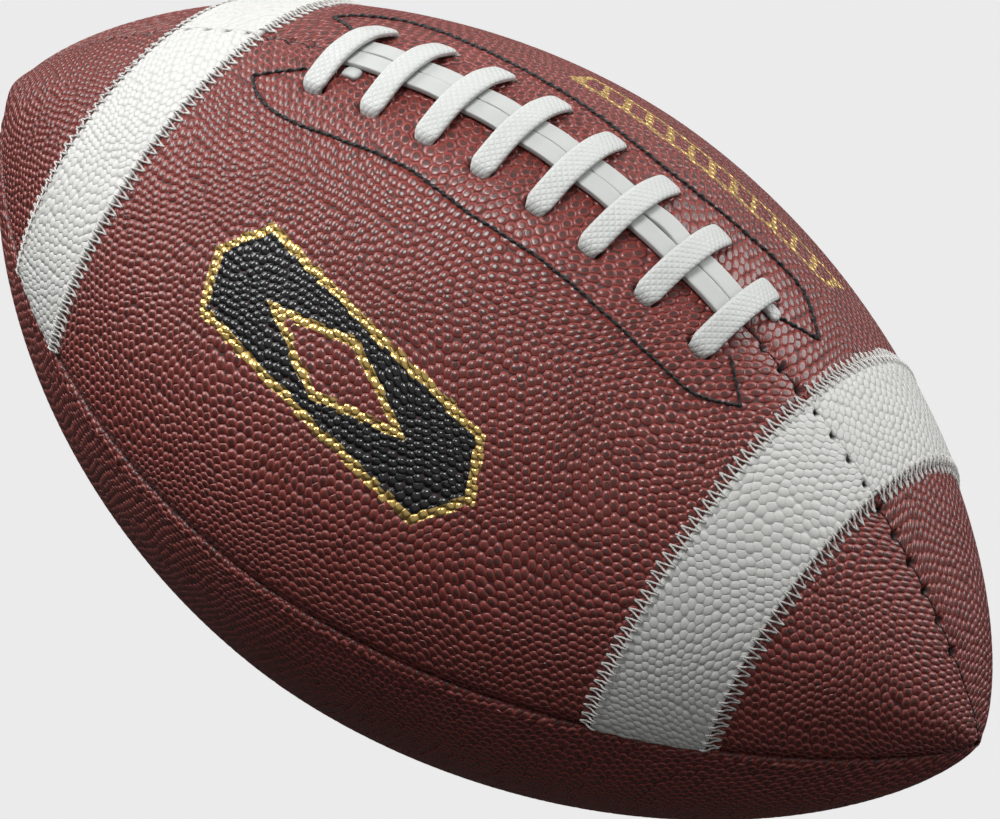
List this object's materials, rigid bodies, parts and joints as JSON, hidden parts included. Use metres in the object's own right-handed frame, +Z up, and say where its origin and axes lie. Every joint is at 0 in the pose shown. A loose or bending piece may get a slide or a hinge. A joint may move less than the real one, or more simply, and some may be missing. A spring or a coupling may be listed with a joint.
{
  "type": "american football",
  "caption": "American football of sewn pebbled leather panels with white stripes, laces over reinforced leather strips, a lining and an inflatable bladder with a valve",
  "frame": {"origin": "centre of the ball, where its long axis crosses the middle of its length", "axes": "+X along the long axis, +Z up through the middle of the lacing seam, +Y to the rear; the two panels at -Y and +Y meet along the seams in the XZ plane"},
  "size_m": [0.2894, 0.1678, 0.1723],
  "materials": {
    "brown_leather": "pebbled, tacky semi-gloss",
    "white_leather": "pebbled, satin",
    "white_lace": "embossed weave, satin",
    "white_thread": "matte",
    "black_thread": "waxed, satin",
    "brown_thread": "waxed, satin",
    "lining_fabric": "matte",
    "backing_leather": "matte",
    "bladder_rubber": "matte",
    "valve_rubber": "matte",
    "valve_core_rubber": "matte"
  },
  "bodies": {
    "root": {"bladder": "bladder_rubber", "bladder_guard": "backing_leather", "cross_lace_1": "white_lace", "cross_lace_2": "white_lace", "cross_lace_3": "white_lace", "cross_lace_4": "white_lace", "cross_lace_5": "white_lace", "cross_lace_6": "white_lace", "cross_lace_7": "white_lace", "cross_lace_8": "white_lace", "lace_backing_front": "backing_leather", "lace_backing_rear": "backing_leather", "lace_end_aft": "white_lace", "lace_end_fore": "white_lace", "lace_run_front": "white_lace", "lace_run_rear": "white_lace", "lining_lower_front": "lining_fabric", "lining_lower_rear": "lining_fabric", "lining_upper_front": "lining_fabric", "lining_upper_rear": "lining_fabric", "outline_stitch_front": "black_thread", "outline_stitch_rear": "black_thread", "panel_lower_front": "brown_leather", "panel_lower_rear": "brown_leather", "panel_upper_front": "brown_leather", "panel_upper_rear": "brown_leather", "seam_thread_front": "brown_thread", "seam_thread_lower": "brown_thread", "seam_thread_rear": "brown_thread", "seam_thread_upper_aft": "brown_thread", "seam_thread_upper_fore": "brown_thread", "stripe_aft_front": "white_leather", "stripe_aft_rear": "white_leather", "stripe_fore_front": "white_leather", "stripe_fore_rear": "white_leather", "stripe_stitch_aft_front_inner": "white_thread", "stripe_stitch_aft_front_outer": "white_thread", "stripe_stitch_aft_rear_inner": "white_thread", "stripe_stitch_aft_rear_outer": "white_thread", "stripe_stitch_fore_front_inner": "white_thread", "stripe_stitch_fore_front_outer": "white_thread", "stripe_stitch_fore_rear_inner": "white_thread", "stripe_stitch_fore_rear_outer": "white_thread", "valve_core": "valve_core_rubber", "valve_housing": "valve_rubber"}
  },
  "joints": []
}
